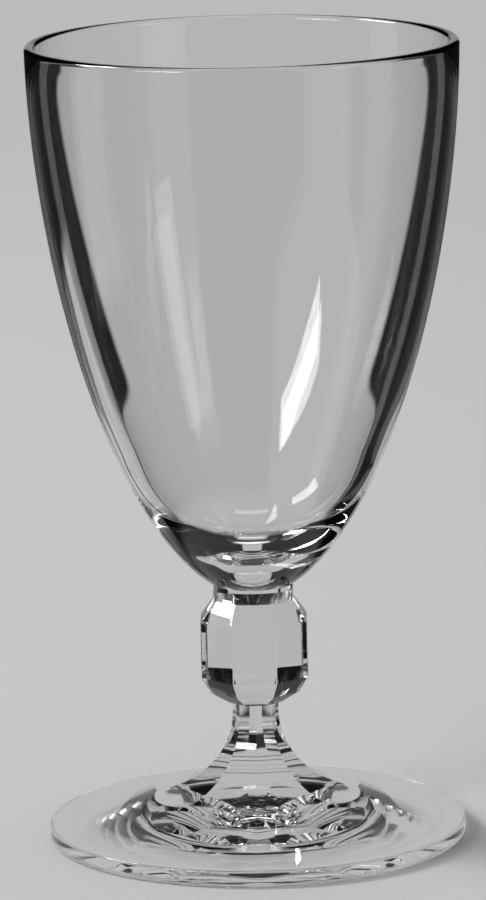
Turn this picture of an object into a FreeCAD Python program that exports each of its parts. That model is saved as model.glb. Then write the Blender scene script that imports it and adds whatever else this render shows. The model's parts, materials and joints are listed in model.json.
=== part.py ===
"""Sherry glass: one solid of clear glass. A deep bowl narrows to a plain collar,
a faceted knop, a flat-cut stem that flares out, and a round foot.

Millimetres, +Z up. The origin is on the axis, on the plane that the foot stands on.
A corner between two flats of the stem faces -Y, and so does a flat of the knop.
"""
import FreeCAD
import Part
import math
import os

from FreeCAD import Vector

# Foot: a round plate with a nearly upright edge, a top that rises to the stem, and a
# hollow underside that follows the top and leaves a flat ring to stand on
FOOT_RADIUS = 31.2
FOOT_EDGE_THICKNESS = 2.6
FOOT_EDGE_TOP_ROUND = 0.4
FOOT_EDGE_BOTTOM_ROUND = 1.0
FOOT_HOLLOW_RADIUS = 27.5
FOOT_HOLLOW_DEPTH = 3.0
FOOT_HOLLOW_MIDDLE_RADIUS = 14.0
FOOT_HOLLOW_MIDDLE_HEIGHT = 1.9
FOOT_MIDDLE_RADIUS = 17.0
FOOT_MIDDLE_HEIGHT = 6.2
FOOT_TOP_RADIUS = 9.0
FOOT_TOP_HEIGHT = 9.7

# Stem: hollow flats that rise from the foot's top, pass the neck and end under the knop
STEM_FLAT_COUNT = 8
NECK_HEIGHT = 19.0
NECK_ACROSS_FLATS = 6.3
FLARE_RADIUS = 12.1
FLARE_SWEEP = 80.0
FLATS_TOP_HEIGHT = 20.6
STEM_BLANK_RADIUS = 3.8

# Knop: flats that lean out from the stem in two rows, stand upright, and lean in to the collar
KNOP_FLAT_COUNT = 8
KNOP_LOW_ACROSS_FLATS = 7.9
KNOP_TURN_ACROSS_FLATS = 13.2
KNOP_TURN_HEIGHT = 22.4
KNOP_ACROSS_FLATS = 15.9
KNOP_MIDDLE_LOW_HEIGHT = 24.8
KNOP_SHOULDER_RISE = 3.1
KNOP_TOP_ACROSS_FLATS = 11.6
KNOP_BLANK_RADIUS = 9.6
COLLAR_RADIUS = 6.0
COLLAR_THICKNESS = 2.2

# Bowl, outside: it leaves the collar, swells, and stands nearly upright at the rim
BOWL_BASE_HEIGHT = 38.6
GLASS_HEIGHT = 119.9
RIM_RADIUS = 32.0
BOWL_DEPTH_POWER = 1.75
BOWL_WIDTH_POWER = 1.9

# Bowl, inside: the wall grows from the rim downwards, over a round floor and a thick solid base
RIM_WALL = 1.6
UPPER_WALL = 1.8
LOWER_WALL = 2.85
LOWER_WALL_HEIGHT = 53.0
CAVITY_FLOOR_HEIGHT = 44.25
CAVITY_FLOOR_RADIUS = 16.6
CAVITY_FLOOR_SWEEP = 42.0

# How finely the bowl's two curves are followed
CURVE_STEPS = 12

# The collar hangs under the bowl, and the knop's shoulder under the collar
COLLAR_LOW_HEIGHT = BOWL_BASE_HEIGHT - COLLAR_THICKNESS
KNOP_MIDDLE_TOP_HEIGHT = COLLAR_LOW_HEIGHT - KNOP_SHOULDER_RISE


def bowl_radius(height):
    """Outer radius of the bowl at a height between its base and the rim."""
    base_share = 1.0 - (COLLAR_RADIUS / RIM_RADIUS) ** BOWL_WIDTH_POWER
    full_depth = (GLASS_HEIGHT - BOWL_BASE_HEIGHT) / base_share ** (1.0 / BOWL_DEPTH_POWER)
    share = (GLASS_HEIGHT - height) / full_depth
    return RIM_RADIUS * (1.0 - share ** BOWL_DEPTH_POWER) ** (1.0 / BOWL_WIDTH_POWER)


def at(radius, height):
    """Point of an outline, which is drawn in the XZ plane."""
    return Vector(radius, 0, height)


def line(start, end):
    return Part.LineSegment(start, end).toShape()


def arc(start, middle, end):
    return Part.Arc(start, middle, end).toShape()


def round_corner(centre, radius, first_angle, last_angle):
    """Arc of a circle in the XZ plane, between two angles from +X towards +Z."""
    points = []
    for angle in (first_angle, (first_angle + last_angle) / 2, last_angle):
        turn = math.radians(angle)
        points.append(centre + at(radius * math.cos(turn), radius * math.sin(turn)))
    return arc(*points)


def revolved(edges):
    """Solid of revolution about the Z axis."""
    return Part.Face(Part.Wire(edges)).revolve(Vector(), Vector(0, 0, 1), 360)


def foot_edges():
    """Foot's outline, from the axis under it to its top beside the stem."""
    low_round = FOOT_EDGE_BOTTOM_ROUND
    top_round = FOOT_EDGE_TOP_ROUND
    hollow_middle = at(FOOT_HOLLOW_MIDDLE_RADIUS, FOOT_HOLLOW_MIDDLE_HEIGHT)
    low_centre = at(FOOT_RADIUS - low_round, low_round)
    top_centre = at(FOOT_RADIUS - top_round, FOOT_EDGE_THICKNESS - top_round)
    return [
        arc(at(0, FOOT_HOLLOW_DEPTH), hollow_middle, at(FOOT_HOLLOW_RADIUS, 0)),
        line(at(FOOT_HOLLOW_RADIUS, 0), at(low_centre.x, 0)),
        round_corner(low_centre, low_round, -90, 0),
        line(at(FOOT_RADIUS, low_centre.z), at(FOOT_RADIUS, top_centre.z)),
        round_corner(top_centre, top_round, 0, 90),
        arc(at(top_centre.x, FOOT_EDGE_THICKNESS), at(FOOT_MIDDLE_RADIUS, FOOT_MIDDLE_HEIGHT),
            at(FOOT_TOP_RADIUS, FOOT_TOP_HEIGHT)),
    ]


def stem_and_knop_edges():
    """Outline of the blank that the flats are cut in, from the foot's top to the bowl's base."""
    corners = [
        at(FOOT_TOP_RADIUS, FOOT_TOP_HEIGHT),
        at(STEM_BLANK_RADIUS, NECK_HEIGHT),
        at(STEM_BLANK_RADIUS, FLATS_TOP_HEIGHT),
        at(KNOP_BLANK_RADIUS, FLATS_TOP_HEIGHT),
        at(KNOP_BLANK_RADIUS, COLLAR_LOW_HEIGHT),
        at(COLLAR_RADIUS, COLLAR_LOW_HEIGHT),
        at(COLLAR_RADIUS, BOWL_BASE_HEIGHT),
    ]
    return [line(start, end) for start, end in zip(corners, corners[1:])]


def bowl_edges():
    """Outline of the bowl: outer side, rounded lip, inner side and floor."""
    lip_round = RIM_WALL / 2
    lip_height = GLASS_HEIGHT - lip_round
    outside = []
    for step in range(CURVE_STEPS + 1):
        rise = 1.0 - math.cos(math.pi / 2 * step / CURVE_STEPS)
        height = BOWL_BASE_HEIGHT + (lip_height - BOWL_BASE_HEIGHT) * rise
        outside.append(at(bowl_radius(height), height))
    lip_outside = outside[-1]
    lip_inside = at(lip_outside.x - RIM_WALL, lip_height)
    inside = [lip_inside]
    for step in range(1, CURVE_STEPS + 1):
        share = step / CURVE_STEPS
        height = lip_height - (lip_height - LOWER_WALL_HEIGHT) * share
        wall = UPPER_WALL + (LOWER_WALL - UPPER_WALL) * share
        inside.append(at(bowl_radius(height) - wall, height))
    floor_centre = at(0, CAVITY_FLOOR_HEIGHT + CAVITY_FLOOR_RADIUS)
    floor = round_corner(floor_centre, CAVITY_FLOOR_RADIUS, CAVITY_FLOOR_SWEEP - 90, -90)
    floor_start = floor.Vertexes[0].Point
    floor_middle = floor.Vertexes[-1].Point
    inside.append(floor_start)
    inward = at(-math.cos(math.radians(CAVITY_FLOOR_SWEEP)), -math.sin(math.radians(CAVITY_FLOOR_SWEEP)))
    outer_curve = Part.BSplineCurve()
    outer_curve.interpolate(outside)
    inner_curve = Part.BSplineCurve()
    inner_curve.interpolate(Points=inside, InitialTangent=Vector(0, 0, -1), FinalTangent=inward)
    return [
        outer_curve.toShape(),
        arc(lip_outside, at(lip_outside.x - lip_round, GLASS_HEIGHT), lip_inside),
        inner_curve.toShape(),
        floor,
        line(floor_middle, at(0, FOOT_HOLLOW_DEPTH)),
    ]


def stem_flat():
    """Face outside one flat of the stem, with the flare's arc and the neck as its inner side."""
    neck = NECK_ACROSS_FLATS / 2
    flare_centre = at(neck + FLARE_RADIUS, NECK_HEIGHT)
    flare = round_corner(flare_centre, FLARE_RADIUS, 180, 180 + FLARE_SWEEP)
    flare_end = flare.Vertexes[-1].Point
    run_out = FOOT_RADIUS - flare_end.x
    drop = run_out / math.tan(math.radians(FLARE_SWEEP))
    low_corner = at(FOOT_RADIUS, flare_end.z - drop)
    return Part.Face(Part.Wire([
        flare,
        line(flare_end, low_corner),
        line(low_corner, at(FOOT_RADIUS, FLATS_TOP_HEIGHT)),
        line(at(FOOT_RADIUS, FLATS_TOP_HEIGHT), at(neck, FLATS_TOP_HEIGHT)),
        line(at(neck, FLATS_TOP_HEIGHT), at(neck, NECK_HEIGHT)),
    ]))


def knop_flats():
    """Face outside one column of the knop's flats."""
    corners = [
        at(KNOP_LOW_ACROSS_FLATS / 2, FLATS_TOP_HEIGHT),
        at(KNOP_TURN_ACROSS_FLATS / 2, KNOP_TURN_HEIGHT),
        at(KNOP_ACROSS_FLATS / 2, KNOP_MIDDLE_LOW_HEIGHT),
        at(KNOP_ACROSS_FLATS / 2, KNOP_MIDDLE_TOP_HEIGHT),
        at(KNOP_TOP_ACROSS_FLATS / 2, COLLAR_LOW_HEIGHT),
        at(FOOT_RADIUS, COLLAR_LOW_HEIGHT),
        at(FOOT_RADIUS, FLATS_TOP_HEIGHT),
    ]
    return Part.Face(Part.makePolygon(corners + corners[:1]))


def cutting_bars(face, count, first_angle):
    """Bars along the tangent, evenly spaced around the axis from an angle off -Y."""
    bar = face.extrude(Vector(0, 2 * FOOT_RADIUS, 0))
    bar.translate(Vector(0, -FOOT_RADIUS, 0))
    bars = []
    for index in range(count):
        turned = bar.copy()
        turned.rotate(Vector(), Vector(0, 0, 1), -90 + first_angle + 360 / count * index)
        bars.append(turned)
    return bars


def sherry_glass():
    blank = revolved(foot_edges() + stem_and_knop_edges() + bowl_edges())
    stem_bars = cutting_bars(stem_flat(), STEM_FLAT_COUNT, 180 / STEM_FLAT_COUNT)
    knop_bars = cutting_bars(knop_flats(), KNOP_FLAT_COUNT, 0)
    return blank.cut(stem_bars + knop_bars).Solids[0]


os.makedirs("parts", exist_ok=True)
sherry_glass().exportStep("parts/sherry_glass.step")
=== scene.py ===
"""Sherry glass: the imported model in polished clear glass, on a plain pale floor.

Metres, +Z up. The camera stands in front of the glass, at -Y, and looks slightly down.
"""
import json
import math

import bmesh
import bpy
import numpy
from mathutils import Matrix, Vector

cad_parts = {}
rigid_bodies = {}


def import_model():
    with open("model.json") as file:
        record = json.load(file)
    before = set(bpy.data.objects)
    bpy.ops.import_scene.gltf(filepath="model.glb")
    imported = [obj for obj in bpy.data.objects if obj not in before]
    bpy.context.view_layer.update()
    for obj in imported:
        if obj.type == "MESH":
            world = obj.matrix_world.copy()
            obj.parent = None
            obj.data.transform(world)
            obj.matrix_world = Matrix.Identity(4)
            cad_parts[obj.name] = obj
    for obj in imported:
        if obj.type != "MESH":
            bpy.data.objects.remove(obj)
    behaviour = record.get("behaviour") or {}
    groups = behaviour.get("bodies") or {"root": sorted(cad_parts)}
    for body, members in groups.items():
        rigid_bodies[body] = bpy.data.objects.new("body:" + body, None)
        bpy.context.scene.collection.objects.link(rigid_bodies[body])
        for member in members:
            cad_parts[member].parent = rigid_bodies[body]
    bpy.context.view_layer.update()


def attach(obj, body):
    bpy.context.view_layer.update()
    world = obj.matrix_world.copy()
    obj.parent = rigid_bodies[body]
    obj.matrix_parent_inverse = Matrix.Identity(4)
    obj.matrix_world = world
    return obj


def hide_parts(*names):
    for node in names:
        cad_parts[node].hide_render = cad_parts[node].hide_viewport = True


# Camera: its lens, place and direction, from in front of the glass and slightly above it
IMAGE_HEIGHT_PX = 900
FOCAL_LENGTH_PX = 5757.3
SENSOR_HEIGHT_MM = 24.0
CAMERA_DISTANCE = 0.83882
CAMERA_HEIGHT = 0.22436
CAMERA_YAW = math.radians(-0.0722)
CAMERA_PITCH = math.radians(11.1695)
CAMERA_ROLL = math.radians(1.2362)
NEAREST_SEEN = 0.01

# Pale floor: a paper that takes the shadow, and beyond it an even tone
FLOOR_RADIUS = 8.0
FLOOR_SIDES = 128
FLOOR_TONE = 0.50
PAPER_REACH = 0.35
FAR_REACH = 1.1
PALE_TONE = 0.50

# What the glass shows of floor and room: darkness, and pale fans that spread from the glass.
# Each fan has an azimuth left of +Y, half its angle far off and near by, and where it starts and ends
DARK_TONE = 0.012
ROOM_TONE = 0.006
NO_END = 99.0
FANS = (
    (0.0, 13.0, 28.0, 0.0, NO_END),
    (45.0, 8.0, 13.0, 0.06, 0.31),
    (90.0, 11.0, 16.0, 0.2, NO_END),
    (225.0, 13.0, 28.0, 0.0, NO_END),
)
FAN_SOFT_EDGE = math.radians(1.0)
FAN_WIDE_REACH = 0.16
FAN_NARROW_REACH = 0.30
FAN_START_SOFTNESS = 0.03

# Pale floor round the foot, and a painted shadow on it under the stem that only the glass shows
NEAR_RADIUS = 0.05
NEAR_SOFT_EDGE = 0.01
UNDER_STEM_SHADOW_RADIUS = 0.012
UNDER_STEM_SHADOW_SOFT_EDGE = 0.003

# How high the fans reach in the room, and the even light on the floor
PALE_TOP_SLOPE = 0.5
PALE_TOP_SOFTNESS = 0.15
AMBIENT_TONE = 0.40

# Lamps: name, azimuth left of +Y, elevation, width, height, roll and power
LAMP_DISTANCE = 2.16
LAMP_AIM = (0.0, 0.0, 0.06)
LAMPS = (
    ("key", 75.0, 43.0, 0.5, 0.8, 0.0, 34.0),
    ("window", 133.0, 26.0, 1.0, 0.3, 36.5, 18.0),
    ("strip", -125.0, 19.0, 0.5, 0.8, 0.0, 2.3),
    ("top", 0.0, 80.0, 1.0, 0.3, 0.0, 3.0),
)

# Glass: how often light is followed from side to side, its tints, its faint waves and its wear
LIGHT_BOUNCES = 24
GLASS_INDEX = 1.52
CLEAR_TINT = (0.99, 0.993, 0.992, 1.0)
DEEP_TINT = (0.975, 0.982, 0.98, 1.0)
TINT_SCALE = 18.0
WAVE_SCALE = 70.0
WAVE_HEIGHT = 0.000006
WEAR_HEIGHT = 0.0003
WEAR_ROUGHNESS = 0.35
WEAR_SCALE = 900.0

# Foot, in millimetres as every size of the glass below
FOOT_RADIUS = 31.2
FOOT_EDGE_THICKNESS = 2.6
FOOT_EDGE_TOP_ROUND = 0.4
FOOT_EDGE_BOTTOM_ROUND = 1.0
FOOT_HOLLOW_RADIUS = 27.5
FOOT_HOLLOW_DEPTH = 3.0
FOOT_HOLLOW_MIDDLE = (14.0, 1.9)
FOOT_MIDDLE = (17.0, 6.2)
FOOT_TOP = (9.0, 9.7)

# Stem
FLAT_COUNT = 8
NECK_HEIGHT = 19.0
NECK_ACROSS_FLATS = 6.3
FLARE_RADIUS = 12.1
FLARE_SWEEP = math.radians(80.0)
FLATS_TOP_HEIGHT = 20.6

# Knop and collar: the knop's outline as half its size across flats and a height
KNOP_HALF_ACROSS = 7.95
KNOP_TOP_HALF_ACROSS = 5.8
KNOP_OUTLINE = (
    (3.95, FLATS_TOP_HEIGHT),
    (6.6, 22.4),
    (KNOP_HALF_ACROSS, 24.8),
    (KNOP_HALF_ACROSS, 33.3),
    (KNOP_TOP_HALF_ACROSS, 36.4),
)
KNOP_EDGE_ROUND = 0.5
COLLAR_RADIUS = 6.0

# Bowl
BOWL_BASE_HEIGHT = 38.6
GLASS_HEIGHT = 119.9
RIM_RADIUS = 32.0
BOWL_DEPTH_POWER = 1.75
BOWL_WIDTH_POWER = 1.9
RIM_WALL = 1.6
UPPER_WALL = 1.8
LOWER_WALL = 2.85
LOWER_WALL_HEIGHT = 53.0
CAVITY_FLOOR_HEIGHT = 44.25
CAVITY_FLOOR_RADIUS = 16.6
CAVITY_FLOOR_SWEEP = math.radians(42.0)

# Bowl's inside: the stretches between its knots, and its direction under the lip
WALL_STRETCHES = 12
INNER_WAY = (-0.12, -1.0)

# Mesh: rings on each stretch, from the middle of the hollow to the middle of the bowl's floor
HOLLOW_RINGS = 48
HOLLOW_FIRST_SHARE = 0.002
EDGE_LOW_RINGS = 16
EDGE_TOP_RINGS = 12
FOOT_TOP_RINGS = 28
RUN_OUT_RINGS = 12
FLARE_RINGS = 40
KNOP_CORNER_RINGS = 4
BOWL_SIDE_RINGS = 72
LIP_RINGS = 24
CAVITY_RINGS = 72
CAVITY_FLOOR_RINGS = 24

# Mesh: columns on one flat, columns on one corner beside it, and the crease angle
FLAT_COLUMNS = 16
CORNER_COLUMNS = 4
CREASE_ANGLE = math.radians(8.0)

# Half the angle round the axis that belongs to one flat, and the part of it that even columns take
HALF_SECTOR = math.pi / FLAT_COUNT
EVEN_SHARE = FLAT_COLUMNS / (FLAT_COLUMNS + 2 * CORNER_COLUMNS) * HALF_SECTOR

# Turn of a flat's middle off -Y, in half sectors: a corner of the stem and a flat of the knop face -Y
STEM_PHASE = 1
KNOP_PHASE = 0

# How late the foot's columns gather to the middles of the flats, and where the flats may run out
EVEN_OUT_POWER = 4
RUN_OUT_SEARCH = (1.2, 1.9)

# Accuracy of the mesh, the radius of the small face that closes the bowl's floor, and the unit
HALVINGS = 50
ALMOST_ONE = 0.9999999
SAME_PLACE = 2e-7
MIDDLE_HOLE = 0.02
MILLIMETRE = 0.001


class Shader:
    """Short calls for building one node tree."""

    def __init__(self, owner):
        owner.use_nodes = True
        self.tree = owner.node_tree
        self.tree.nodes.clear()

    def node(self, kind, **inputs):
        made = self.tree.nodes.new(kind)
        for name, value in inputs.items():
            self.feed(made.inputs[name.replace("_", " ")], value)
        return made

    def feed(self, socket, value):
        if isinstance(value, bpy.types.NodeSocket):
            self.tree.links.new(value, socket)
        else:
            socket.default_value = value

    def math(self, operation, first, second=0.0):
        made = self.tree.nodes.new("ShaderNodeMath")
        made.operation = operation
        self.feed(made.inputs[0], first)
        self.feed(made.inputs[1], second)
        return made.outputs[0]

    def ramp(self, value, low, high, start=0.0, end=1.0):
        made = self.tree.nodes.new("ShaderNodeMapRange")
        made.interpolation_type = "SMOOTHSTEP"
        self.feed(made.inputs["Value"], value)
        self.feed(made.inputs["From Min"], low)
        self.feed(made.inputs["From Max"], high)
        self.feed(made.inputs["To Min"], start)
        self.feed(made.inputs["To Max"], end)
        return made.outputs["Result"]


def fans(shader, place, reach):
    """1 on the pale fans, at a place or direction and a distance from the axis, and 0 between them."""
    parts = shader.node("ShaderNodeSeparateXYZ", Vector=place)
    left = shader.math("MULTIPLY", parts.outputs["X"], -1.0)
    turn = shader.math("ARCTAN2", left, parts.outputs["Y"])
    lit = None
    for azimuth, far_width, near_width, start, end in FANS:
        centred = shader.math("SUBTRACT", turn, math.radians(azimuth))
        offset = shader.math("PINGPONG", centred, math.pi)
        near, far = math.radians(near_width), math.radians(far_width)
        width = shader.ramp(reach, FAN_WIDE_REACH, FAN_NARROW_REACH, near, far)
        past = shader.math("SUBTRACT", offset, width)
        fan = shader.ramp(past, -FAN_SOFT_EDGE, FAN_SOFT_EDGE, 1.0, 0.0)
        begun = shader.ramp(reach, start - FAN_START_SOFTNESS, start + FAN_START_SOFTNESS)
        over = shader.ramp(reach, end - FAN_START_SOFTNESS, end + FAN_START_SOFTNESS, 1.0, 0.0)
        fan = shader.math("MULTIPLY", shader.math("MULTIPLY", fan, begun), over)
        lit = fan if lit is None else shader.math("MAXIMUM", lit, fan)
    return lit


def floor_material():
    """Paper near the glass and an even tone far off; in the glass it shows as fans in darkness."""
    material = bpy.data.materials.new("pale_floor")
    shader = Shader(material)
    place = shader.node("ShaderNodeNewGeometry").outputs["Position"]
    light_path = shader.node("ShaderNodeLightPath")
    length = shader.node("ShaderNodeVectorMath", Vector=place)
    length.operation = "LENGTH"
    reach = length.outputs["Value"]
    near = shader.ramp(reach, NEAR_RADIUS - NEAR_SOFT_EDGE, NEAR_RADIUS + NEAR_SOFT_EDGE, 1.0, 0.0)
    lit = shader.math("MAXIMUM", fans(shader, place, reach), near)
    # Painted shadow: in the glass the floor goes dark within a small radius under the stem
    outside_painted_shadow = shader.ramp(reach, UNDER_STEM_SHADOW_RADIUS - UNDER_STEM_SHADOW_SOFT_EDGE, UNDER_STEM_SHADOW_RADIUS + UNDER_STEM_SHADOW_SOFT_EDGE)
    lit = shader.math("MULTIPLY", lit, outside_painted_shadow)
    seen = shader.math("MAXIMUM", lit, light_path.outputs["Is Camera Ray"])
    glow = shader.ramp(seen, 0.0, 1.0, DARK_TONE, PALE_TONE)
    refracted = light_path.outputs["Is Transmission Ray"]
    through = shader.math("MAXIMUM", refracted, light_path.outputs["Is Glossy Ray"])
    far = shader.ramp(reach, PAPER_REACH, FAR_REACH)
    paper = shader.node("ShaderNodeBsdfDiffuse", Color=(FLOOR_TONE, FLOOR_TONE, FLOOR_TONE, 1.0))
    shown = shader.node("ShaderNodeEmission", Strength=glow)
    mixed = shader.node("ShaderNodeMixShader", Fac=shader.math("MAXIMUM", through, far))
    shader.feed(mixed.inputs[1], paper.outputs[0])
    shader.feed(mixed.inputs[2], shown.outputs[0])
    shader.node("ShaderNodeOutputMaterial", Surface=mixed.outputs[0])
    return material


def add_floor():
    """Round floor, which is no part of the glass."""
    bpy.ops.mesh.primitive_circle_add(vertices=FLOOR_SIDES, radius=FLOOR_RADIUS, fill_type="NGON")
    floor = bpy.context.object
    floor.name = "floor"
    floor.data.materials.append(floor_material())


def add_world():
    """Pale room for the camera, dark with pale fans in the glass, and an even light on the floor."""
    world = bpy.data.worlds.new("studio")
    bpy.context.scene.world = world
    shader = Shader(world)
    direction = shader.node("ShaderNodeTexCoord").outputs["Generated"]
    light_path = shader.node("ShaderNodeLightPath")
    slope = shader.node("ShaderNodeSeparateXYZ", Vector=direction).outputs["Z"]
    low = shader.ramp(slope, PALE_TOP_SLOPE, PALE_TOP_SLOPE + PALE_TOP_SOFTNESS, 1.0, 0.0)
    pale = shader.math("MULTIPLY", fans(shader, direction, FLOOR_RADIUS), low)
    seen = shader.math("MAXIMUM", light_path.outputs["Is Camera Ray"], pale)
    tone = shader.ramp(seen, 0.0, 1.0, ROOM_TONE, PALE_TONE)
    ambient = shader.math("MULTIPLY", light_path.outputs["Is Diffuse Ray"], AMBIENT_TONE)
    strength = shader.math("MAXIMUM", tone, ambient)
    sky = shader.node("ShaderNodeBackground", Color=(1.0, 1.0, 1.0, 1.0), Strength=strength)
    shader.node("ShaderNodeOutputWorld", Surface=sky.outputs[0])


def add_lamp(name, azimuth, elevation, width, height, roll, power):
    """Soft rectangular lamp at an azimuth left of +Y and an elevation, turned towards the glass."""
    data = bpy.data.lights.new(name, "AREA")
    data.shape = "RECTANGLE"
    data.size = width
    data.size_y = height
    data.energy = power
    lamp = bpy.data.objects.new(name, data)
    bpy.context.scene.collection.objects.link(lamp)
    turn = Matrix.Rotation(math.radians(azimuth), 3, "Z") @ Matrix.Rotation(math.radians(elevation), 3, "X")
    way = turn @ Vector((0, LAMP_DISTANCE, 0))
    facing = (-way).to_track_quat("-Z", "Y").to_matrix() @ Matrix.Rotation(math.radians(roll), 3, "Z")
    lamp.matrix_world = Matrix.Translation(way + Vector(LAMP_AIM)) @ facing.to_4x4()


def add_lamps():
    for lamp in LAMPS:
        add_lamp(*lamp)


def add_camera():
    """Camera in front of the glass, which becomes the scene's camera."""
    data = bpy.data.cameras.new("camera")
    data.sensor_fit = "VERTICAL"
    data.sensor_height = SENSOR_HEIGHT_MM
    data.lens = FOCAL_LENGTH_PX * SENSOR_HEIGHT_MM / IMAGE_HEIGHT_PX
    data.clip_start = NEAREST_SEEN
    camera = bpy.data.objects.new("camera", data)
    bpy.context.scene.collection.objects.link(camera)
    bpy.context.scene.camera = camera
    look = Matrix.Rotation(-CAMERA_YAW, 3, "Z") @ Matrix.Rotation(math.pi / 2 - CAMERA_PITCH, 3, "X")
    look = look @ Matrix.Rotation(-CAMERA_ROLL, 3, "Z")
    place = Matrix.Translation((0, -CAMERA_DISTANCE, CAMERA_HEIGHT))
    camera.matrix_world = place @ look.to_4x4()


def follow_light_inside_glass():
    """Lets light be reflected many times between the two sides of the glass before it is lost."""
    paths = bpy.context.scene.cycles
    paths.max_bounces = LIGHT_BOUNCES
    paths.transmission_bounces = LIGHT_BOUNCES
    paths.glossy_bounces = LIGHT_BOUNCES


def glass_material():
    """Clear glass with a slightly uneven tint, faint waves, and a worn ring that it stands on."""
    material = bpy.data.materials.new("clear_glass")
    shader = Shader(material)
    place = shader.node("ShaderNodeTexCoord").outputs["Object"]
    height = shader.node("ShaderNodeSeparateXYZ", Vector=place).outputs["Z"]
    cloud = shader.node("ShaderNodeTexNoise", Vector=place, Scale=TINT_SCALE).outputs[0]
    tint = shader.node("ShaderNodeMixRGB", Fac=cloud, Color1=CLEAR_TINT, Color2=DEEP_TINT).outputs[0]
    wave = shader.node("ShaderNodeTexNoise", Vector=place, Scale=WAVE_SCALE, Detail=0.0).outputs[0]
    wavy = shader.node("ShaderNodeBump", Height=wave, Distance=WAVE_HEIGHT).outputs[0]
    grain = shader.node("ShaderNodeTexNoise", Vector=place, Scale=WEAR_SCALE).outputs[0]
    worn = shader.ramp(height, 0.0, WEAR_HEIGHT, WEAR_ROUGHNESS, 0.0)
    roughness = shader.math("MULTIPLY", worn, grain)
    surface = shader.node("ShaderNodeBsdfPrincipled", Base_Color=tint, Roughness=roughness, Normal=wavy)
    surface.inputs["IOR"].default_value = GLASS_INDEX
    surface.inputs["Transmission Weight"].default_value = 1.0
    shader.node("ShaderNodeOutputMaterial", Surface=surface.outputs[0])
    return material


def bowl_radius(height):
    """Outer radius of the bowl at a height between its base and the rim."""
    base_share = 1.0 - (COLLAR_RADIUS / RIM_RADIUS) ** BOWL_WIDTH_POWER
    full_depth = (GLASS_HEIGHT - BOWL_BASE_HEIGHT) / base_share ** (1.0 / BOWL_DEPTH_POWER)
    share = (GLASS_HEIGHT - height) / full_depth
    return RIM_RADIUS * (1.0 - share ** BOWL_DEPTH_POWER) ** (1.0 / BOWL_WIDTH_POWER)


def steps(count, first=0.0, last=1.0):
    """Evenly spaced values, both ends included."""
    return [first + (last - first) * index / count for index in range(count + 1)]


def solve(function, low, high):
    """Place between two others where a function changes sign."""
    sign = function(low) > 0
    for _ in range(HALVINGS):
        middle = (low + high) / 2
        if (function(middle) > 0) == sign:
            low = middle
        else:
            high = middle
    return (low + high) / 2


def circle_through(first, middle, last):
    """Centre and radius of the circle through three points of an outline."""
    (ax, ay), (bx, by), (cx, cy) = first, middle, last
    area = 2 * (ax * (by - cy) + bx * (cy - ay) + cx * (ay - by))
    a2, b2, c2 = ax * ax + ay * ay, bx * bx + by * by, cx * cx + cy * cy
    x = (a2 * (by - cy) + b2 * (cy - ay) + c2 * (ay - by)) / area
    y = (a2 * (cx - bx) + b2 * (ax - cx) + c2 * (bx - ax)) / area
    return (x, y), math.hypot(ax - x, ay - y)


def round_row(radius, height, spread=EVEN_SHARE, phase=KNOP_PHASE):
    """Round ring of the mesh: height, half angle of its even columns, phase, and radius by angle."""
    return (height, spread, phase, lambda turn: radius)


def flat_row(apothem, height, corner, spread):
    """Ring of the stem's eight flats, with round corners of a given radius about the axis."""
    return (height, spread, STEM_PHASE, lambda turn: min(apothem / math.cos(turn), corner))


def foot_rows():
    """Rings from the middle of the hollow, round the edge, to the foot's top near the stem."""
    low, top = FOOT_EDGE_BOTTOM_ROUND, FOOT_EDGE_TOP_ROUND
    rows = []
    hollow_edge = (FOOT_HOLLOW_RADIUS, 0.0)
    (centre_r, centre_z), radius = circle_through(hollow_edge, FOOT_HOLLOW_MIDDLE, (0.0, FOOT_HOLLOW_DEPTH))
    for share in steps(HOLLOW_RINGS, HOLLOW_FIRST_SHARE, 1.0):
        across = FOOT_HOLLOW_RADIUS * share
        height = centre_z + math.sqrt(radius ** 2 - (across - centre_r) ** 2)
        rows.append(round_row(across, height, phase=STEM_PHASE))
    for turn in steps(EDGE_LOW_RINGS, 0.0, math.pi / 2):
        across = FOOT_RADIUS - low + low * math.sin(turn)
        rows.append(round_row(across, low - low * math.cos(turn), phase=STEM_PHASE))
    for turn in steps(EDGE_TOP_RINGS, 0.0, math.pi / 2):
        height = FOOT_EDGE_THICKNESS - top + top * math.sin(turn)
        rows.append(round_row(FOOT_RADIUS - top + top * math.cos(turn), height, phase=STEM_PHASE))
    return rows


def flare_point(travel):
    """Apothem and height of the stem's flats, along the flare's arc and then its straight end."""
    neck = NECK_ACROSS_FLATS / 2
    turn = min(travel, FLARE_SWEEP)
    run = (travel - turn) * FLARE_RADIUS
    apothem = neck + FLARE_RADIUS * (1.0 - math.cos(turn)) + run * math.sin(turn)
    height = NECK_HEIGHT - FLARE_RADIUS * math.sin(turn) - run * math.cos(turn)
    return apothem, height


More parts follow.
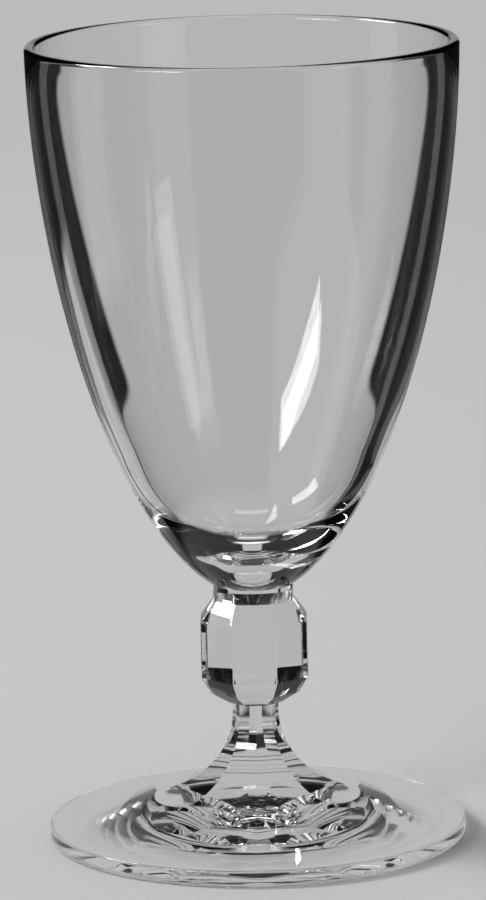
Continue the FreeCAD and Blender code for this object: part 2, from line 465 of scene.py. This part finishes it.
def stem_rows():
    """Rings from the foot's top, up the flare and the neck, to the plane under the knop."""
    foot_edge = (FOOT_RADIUS - FOOT_EDGE_TOP_ROUND, FOOT_EDGE_THICKNESS)
    (centre_r, centre_z), radius = circle_through(foot_edge, FOOT_MIDDLE, FOOT_TOP)

    def foot_top(height):
        """Radius of the foot's top."""
        return centre_r - math.sqrt(radius ** 2 - (centre_z - height) ** 2)

    def overshoot(travel, half_angle):
        """How far a flat's corner lies outside the foot's top."""
        apothem, height = flare_point(travel)
        return apothem - foot_top(height) * math.cos(half_angle)

    start = flare_point(solve(lambda travel: overshoot(travel, 0.0), *RUN_OUT_SEARCH))
    rows = []
    for share in steps(FOOT_TOP_RINGS)[1:]:
        level = foot_edge[1] + (start[1] - foot_edge[1]) * share
        spread = EVEN_SHARE * (1.0 - share ** EVEN_OUT_POWER)
        rows.append(round_row(foot_top(level), level, spread, STEM_PHASE))
    for half_angle in steps(RUN_OUT_RINGS, 0.0, HALF_SECTOR)[1:]:
        corner_travel = solve(lambda travel: overshoot(travel, half_angle), *RUN_OUT_SEARCH)
        apothem, height = flare_point(corner_travel)
        rows.append(flat_row(apothem, height, foot_top(height), half_angle))
    for turn in steps(FLARE_RINGS, corner_travel, 0.0)[1:]:
        apothem, height = flare_point(turn)
        rows.append(flat_row(apothem, height, FOOT_RADIUS, HALF_SECTOR))
    rows.append(flat_row(NECK_ACROSS_FLATS / 2, FLATS_TOP_HEIGHT, FOOT_RADIUS, HALF_SECTOR))
    return rows


def knop_row(apothem, height):
    """Ring of the knop's eight flats, with the upright edges between them slightly rounded."""
    flat_end = math.atan((apothem - KNOP_EDGE_ROUND) * math.tan(HALF_SECTOR) / apothem)
    edge_centre = (apothem - KNOP_EDGE_ROUND) / math.cos(HALF_SECTOR)

    def radius_at(turn):
        if turn <= flat_end:
            return apothem / math.cos(turn)
        off = HALF_SECTOR - turn
        beside = edge_centre * math.sin(off)
        return edge_centre * math.cos(off) + math.sqrt(KNOP_EDGE_ROUND ** 2 - beside ** 2)

    return (height, flat_end, KNOP_PHASE, radius_at)


def softened(points, radius, count):
    """Outline whose corners between its two ends are replaced by short curves."""
    outline = [points[0]]
    for before, corner, after in zip(points, points[1:], points[2:]):
        back, ahead = Vector(before) - Vector(corner), Vector(after) - Vector(corner)
        reach = radius * math.tan((math.pi - back.angle(ahead)) / 2)
        start, end = back.normalized() * reach, ahead.normalized() * reach
        for share in steps(count):
            offset = start * (1.0 - share) ** 2 + end * share ** 2
            outline.append(tuple(Vector(corner) + offset))
    outline.append(points[-1])
    return outline


def knop_rows():
    """Rings up the knop's flats, from the stem to the collar."""
    outline = softened(KNOP_OUTLINE, KNOP_EDGE_ROUND, KNOP_CORNER_RINGS)
    rows = [knop_row(apothem, height) for apothem, height in outline]
    crossing = math.acos(KNOP_TOP_HALF_ACROSS / COLLAR_RADIUS)
    height, _, phase, radius_at = rows[-1]
    rows[-1] = (height, crossing, phase, radius_at)
    rows.append(round_row(COLLAR_RADIUS, height, crossing))
    return rows


def bowl_rows():
    """Rings from the collar, up the outside, over the lip and down the inside to the floor."""
    lip = RIM_WALL / 2
    lip_height = GLASS_HEIGHT - lip
    lip_middle = bowl_radius(lip_height) - lip
    rows = [round_row(COLLAR_RADIUS, BOWL_BASE_HEIGHT)]
    for turn in steps(BOWL_SIDE_RINGS, 0.0, math.pi / 2)[1:]:
        height = BOWL_BASE_HEIGHT + (lip_height - BOWL_BASE_HEIGHT) * (1.0 - math.cos(turn))
        rows.append(round_row(bowl_radius(height), height))
    for turn in steps(LIP_RINGS, 0.0, math.pi)[1:]:
        rows.append(round_row(lip_middle + lip * math.cos(turn), lip_height + lip * math.sin(turn)))
    for radius, height in cavity_points():
        rows.append(round_row(radius, height))
    return rows


def cavity_points():
    """Inner outline of the bowl, from under the lip to the middle of its floor."""
    lip_height = GLASS_HEIGHT - RIM_WALL / 2
    knots = [(bowl_radius(lip_height) - RIM_WALL, lip_height)]
    for share in steps(WALL_STRETCHES)[1:]:
        height = lip_height - (lip_height - LOWER_WALL_HEIGHT) * share
        wall = UPPER_WALL + (LOWER_WALL - UPPER_WALL) * share
        knots.append((bowl_radius(height) - wall, height))
    centre = CAVITY_FLOOR_HEIGHT + CAVITY_FLOOR_RADIUS
    sweep = CAVITY_FLOOR_SWEEP
    knots.append((CAVITY_FLOOR_RADIUS * math.sin(sweep), centre - CAVITY_FLOOR_RADIUS * math.cos(sweep)))
    points = spline(knots, INNER_WAY, (-math.cos(sweep), -math.sin(sweep)), CAVITY_RINGS)
    for turn in steps(CAVITY_FLOOR_RINGS, sweep, 0.0)[1:]:
        across = max(CAVITY_FLOOR_RADIUS * math.sin(turn), MIDDLE_HOLE)
        points.append((across, centre - CAVITY_FLOOR_RADIUS * math.cos(turn)))
    return points


def spline(knots, first_way, last_way, count):
    """Points on a smooth curve through knots, with a given direction at each end."""
    lengths = [0.0]
    for (ax, ay), (bx, by) in zip(knots, knots[1:]):
        lengths.append(lengths[-1] + math.hypot(bx - ax, by - ay))
    size = len(knots)
    tangents = []
    for axis in range(2):
        rows = numpy.zeros((size, size))
        right = numpy.zeros(size)
        rows[0, 0] = rows[-1, -1] = 1.0
        right[0], right[-1] = first_way[axis], last_way[axis]
        for i in range(1, size - 1):
            before, after = lengths[i] - lengths[i - 1], lengths[i + 1] - lengths[i]
            rows[i, i - 1], rows[i, i], rows[i, i + 1] = after, 2 * (before + after), before
            rise = (knots[i + 1][axis] - knots[i][axis]) * before / after
            rise += (knots[i][axis] - knots[i - 1][axis]) * after / before
            right[i] = 3 * rise
        tangents.append(numpy.linalg.solve(rows, right))
    points = []
    for share in steps(count)[1:]:
        travel = lengths[-1] * min(share, ALMOST_ONE)
        i = max(j for j in range(size - 1) if lengths[j] <= travel)
        span = lengths[i + 1] - lengths[i]
        t = (travel - lengths[i]) / span
        point = []
        for axis in range(2):
            a, b = knots[i][axis], knots[i + 1][axis]
            ma, mb = tangents[axis][i] * span, tangents[axis][i + 1] * span
            value = (2 * t ** 3 - 3 * t ** 2 + 1) * a + (t ** 3 - 2 * t ** 2 + t) * ma
            value += (3 * t ** 2 - 2 * t ** 3) * b + (t ** 3 - t ** 2) * mb
            point.append(value)
        points.append(tuple(point))
    return points


def ring_points(row):
    """Points of one ring, in metres, anticlockwise from -Y."""
    height, spread, phase, radius_at = row
    half_count = FLAT_COLUMNS // 2 + CORNER_COLUMNS
    points = []
    for sector in range(FLAT_COUNT):
        middle = -math.pi / 2 + HALF_SECTOR * (2 * sector + phase)
        for column in range(-half_count, half_count):
            past_flat = abs(column) - FLAT_COLUMNS / 2
            if past_flat <= 0:
                turn = spread * abs(column) / (FLAT_COLUMNS / 2)
            else:
                turn = spread + (HALF_SECTOR - spread) * past_flat / CORNER_COLUMNS
            angle = middle + math.copysign(turn, column)
            radius = radius_at(turn)
            points.append(Vector((radius * math.cos(angle), radius * math.sin(angle), height)) * MILLIMETRE)
    # Where a flat faces -Y its first columns lie before -Y, and go to the end of the ring
    if phase == KNOP_PHASE:
        return points[half_count:] + points[:half_count]
    return points


def glass_mesh():
    """The whole glass as one closed mesh of rings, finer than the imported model."""
    rows = foot_rows() + stem_rows() + knop_rows() + bowl_rows()
    mesh = bmesh.new()
    rings = [[mesh.verts.new(point) for point in ring_points(row)] for row in rows]
    for low, high in zip(rings, rings[1:]):
        for i in range(len(low)):
            j = (i + 1) % len(low)
            mesh.faces.new((low[i], low[j], high[j], high[i]))
    mesh.faces.new(reversed(rings[0]))
    mesh.faces.new(rings[-1])
    bmesh.ops.remove_doubles(mesh, verts=mesh.verts, dist=SAME_PLACE)
    bmesh.ops.dissolve_degenerate(mesh, edges=mesh.edges, dist=SAME_PLACE)
    data = bpy.data.meshes.new("sherry_glass_fine")
    mesh.to_mesh(data)
    mesh.free()
    data.shade_smooth()
    data.set_sharp_from_angle(angle=CREASE_ANGLE)
    return data


def add_glass():
    piece = bpy.data.objects.new("sherry_glass_fine", glass_mesh())
    bpy.context.scene.collection.objects.link(piece)
    piece.data.materials.append(glass_material())
    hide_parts("sherry_glass")
    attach(piece, "root")


for leftover in list(bpy.data.objects):
    bpy.data.objects.remove(leftover)
bpy.context.scene.view_settings.view_transform = "Standard"
follow_light_inside_glass()
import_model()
add_glass()
add_floor()
add_world()
add_lamps()
add_camera()
